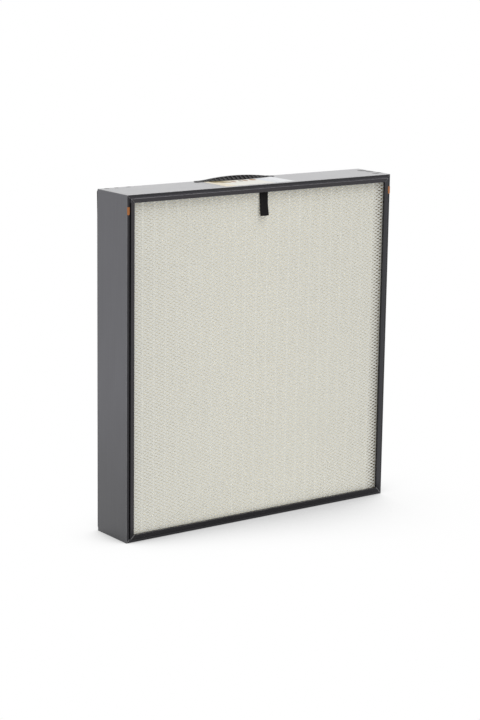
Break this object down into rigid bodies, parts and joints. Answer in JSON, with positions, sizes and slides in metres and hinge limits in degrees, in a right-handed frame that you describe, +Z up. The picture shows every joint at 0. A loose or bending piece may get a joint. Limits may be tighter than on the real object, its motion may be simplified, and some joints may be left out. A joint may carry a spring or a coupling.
{
  "type": "hepa filter panel",
  "caption": "Framed air filter panel: mitred aluminium frame, pleated pack between white expanded metal guards, rear gasket, pull strap and grip.",
  "frame": {"origin": "middle of the box the whole panel fills, on the surface it stands on", "axes": "+Z up, -Y the front with the lip, bead and strap, +Y the gasket side, +X to the right seen from the front"},
  "size_m": [0.575, 0.1014, 0.617],
  "materials": {
    "frame": "dark satin anodised",
    "key": "cast, plain",
    "media": "matte glass-fibre paper",
    "hot_melt": "waxy",
    "potting": "cast, matte",
    "guard": "white, satin",
    "gasket": "soft, matte",
    "strap": "woven webbing",
    "tab": "orange, matte",
    "label": "satin paper",
    "grip": "black, satin",
    "rivet": "black, satin"
  },
  "bodies": {
    "root": {"frame_top": "frame", "frame_bottom": "frame", "frame_left": "frame", "frame_right": "frame", "corner_key_front_bottom_left": "key", "corner_key_front_bottom_right": "key", "corner_key_front_top_left": "key", "corner_key_front_top_right": "key", "corner_key_rear_bottom_left": "key", "corner_key_rear_bottom_right": "key", "corner_key_rear_top_left": "key", "corner_key_rear_top_right": "key", "media_pack": "media", "separators_front": "hot_melt", "separators_rear": "hot_melt", "potting": "potting", "front_guard": "guard", "rear_guard": "guard", "gasket": "gasket", "pull_strap": "strap", "tab_left": "tab", "tab_right": "tab", "label": "label", "grip": "grip", "grip_rivets": "rivet"}
  },
  "joints": []
}
